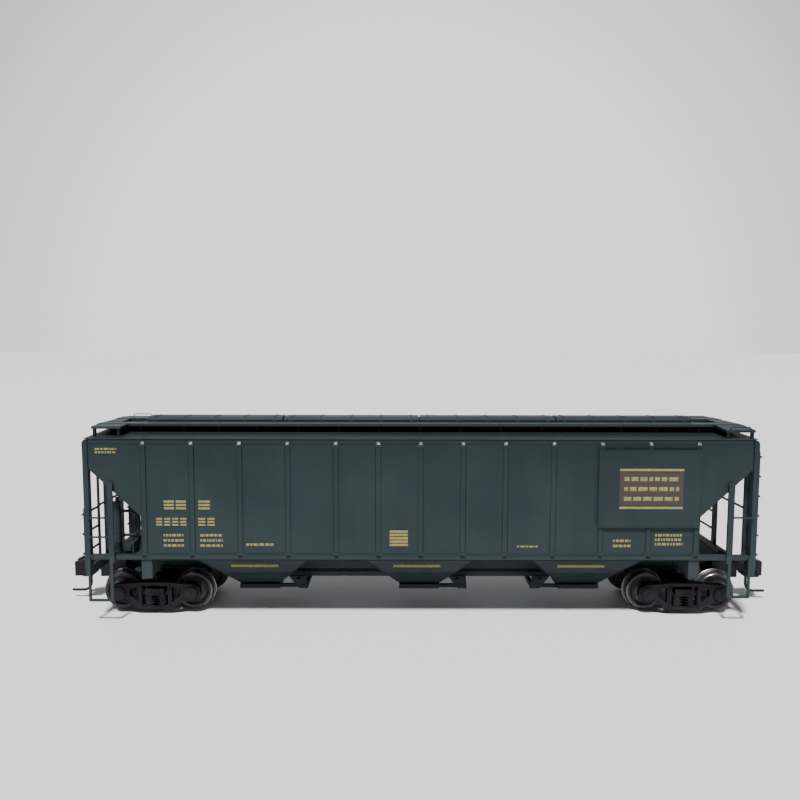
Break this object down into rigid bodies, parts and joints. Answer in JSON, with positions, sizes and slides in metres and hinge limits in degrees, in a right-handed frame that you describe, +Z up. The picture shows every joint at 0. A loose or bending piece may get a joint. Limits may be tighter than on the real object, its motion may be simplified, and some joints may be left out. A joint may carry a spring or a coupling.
{
  "type": "model covered hopper railway car",
  "caption": "HO scale covered hopper railway car with sloped ends, outlet hoppers, roof walkways, swivelling trucks, rolling wheelsets and working knuckle couplers.",
  "frame": {"origin": "centre of the bounding box at the lowest wheel flange", "axes": "+X along the car towards its A end, +Y across the car, +Z up; the brake (B) end is at -X"},
  "size_m": [0.2076, 0.0386, 0.0551],
  "materials": {
    "body_green": "satin painted plastic",
    "truck_black": "matt moulded plastic",
    "wheel_metal": "turned metal, dulled",
    "steel": "plain steel"
  },
  "bodies": {
    "car": {"side_near": "body_green", "side_far": "body_green", "end_cage_a": "body_green", "end_cage_b": "body_green", "slope_plate_a": "body_green", "slope_plate_b": "body_green", "roof": "body_green", "hatch_cover_1": "body_green", "hatch_cover_2": "body_green", "hatch_cover_3": "body_green", "hatch_cover_4": "body_green", "running_board_near": "body_green", "running_board_far": "body_green", "hopper_1": "body_green", "hopper_2": "body_green", "hopper_3": "body_green", "outlet_gate_1": "body_green", "outlet_gate_2": "body_green", "outlet_gate_3": "body_green", "centre_sill_a": "body_green", "centre_sill_b": "body_green", "underframe_a": "body_green", "underframe_b": "body_green", "ballast_weight": "steel", "end_ladder_a": "body_green", "end_ladder_b": "body_green", "end_grabs_a": "body_green", "end_grabs_b": "body_green", "side_ladder_near_a": "body_green", "side_ladder_near_b": "body_green", "side_ladder_far_a": "body_green", "side_ladder_far_b": "body_green", "sign_panel_near": "body_green", "sign_panel_far": "body_green", "brake_shelf": "body_green", "control_valve": "body_green", "air_reservoir": "body_green", "brake_cylinder": "body_green", "brake_pipe": "body_green", "brake_wheel": "body_green", "draft_box_a": "truck_black", "draft_box_b": "truck_black", "truck_a_screw": "steel", "truck_b_screw": "steel"},
    "truck_a": {"truck_a_bolster": "truck_black", "truck_a_frame_near": "truck_black", "truck_a_frame_far": "truck_black"},
    "wheelset_a_outer": {"wheelset_a_outer": "wheel_metal"},
    "wheelset_a_inner": {"wheelset_a_inner": "wheel_metal"},
    "coupler_a": {"coupler_a": "truck_black", "knuckle_pin_a": "steel"},
    "knuckle_a": {"knuckle_a": "truck_black"},
    "truck_b": {"truck_b_bolster": "truck_black", "truck_b_frame_near": "truck_black", "truck_b_frame_far": "truck_black"},
    "wheelset_b_outer": {"wheelset_b_outer": "wheel_metal"},
    "wheelset_b_inner": {"wheelset_b_inner": "wheel_metal"},
    "coupler_b": {"coupler_b": "truck_black", "knuckle_pin_b": "steel"},
    "knuckle_b": {"knuckle_b": "truck_black"}
  },
  "joints": [
    {"name": "truck_a_swivel", "type": "hinge", "parent": "car", "child": "truck_a", "pos_m": [0.0746, 0, 0.00994], "axis": [0, 0, 1], "range_deg": [-9, 9]},
    {"name": "wheelset_a_outer_roll", "type": "hinge", "parent": "truck_a", "child": "wheelset_a_outer", "pos_m": [0.0848, 0, 0.00589], "axis": [0, 1, 0], "continuous": true},
    {"name": "wheelset_a_inner_roll", "type": "hinge", "parent": "truck_a", "child": "wheelset_a_inner", "pos_m": [0.0644, 0, 0.00589], "axis": [0, 1, 0], "continuous": true},
    {"name": "coupler_a_swing", "type": "hinge", "parent": "car", "child": "coupler_a", "pos_m": [0.0905, 0, 0.00984], "axis": [0, 0, 1], "range_deg": [-12, 12], "stiffness_Nm_per_rad": 0.0001},
    {"name": "knuckle_a_open", "type": "hinge", "parent": "coupler_a", "child": "knuckle_a", "pos_m": [0.1005, -0.0015, 0.00984], "axis": [0, 0, -1], "range_deg": [0, 28], "stiffness_Nm_per_rad": 0.00005},
    {"name": "truck_b_swivel", "type": "hinge", "parent": "car", "child": "truck_b", "pos_m": [-0.0746, 0, 0.00994], "axis": [0, 0, 1], "range_deg": [-9, 9]},
    {"name": "wheelset_b_outer_roll", "type": "hinge", "parent": "truck_b", "child": "wheelset_b_outer", "pos_m": [-0.0848, 0, 0.00589], "axis": [0, 1, 0], "continuous": true},
    {"name": "wheelset_b_inner_roll", "type": "hinge", "parent": "truck_b", "child": "wheelset_b_inner", "pos_m": [-0.0644, 0, 0.00589], "axis": [0, 1, 0], "continuous": true},
    {"name": "coupler_b_swing", "type": "hinge", "parent": "car", "child": "coupler_b", "pos_m": [-0.0905, 0, 0.00984], "axis": [0, 0, 1], "range_deg": [-12, 12], "stiffness_Nm_per_rad": 0.0001},
    {"name": "knuckle_b_open", "type": "hinge", "parent": "coupler_b", "child": "knuckle_b", "pos_m": [-0.1005, 0.0015, 0.00984], "axis": [0, 0, -1], "range_deg": [0, 28], "stiffness_Nm_per_rad": 0.00005}
  ]
}
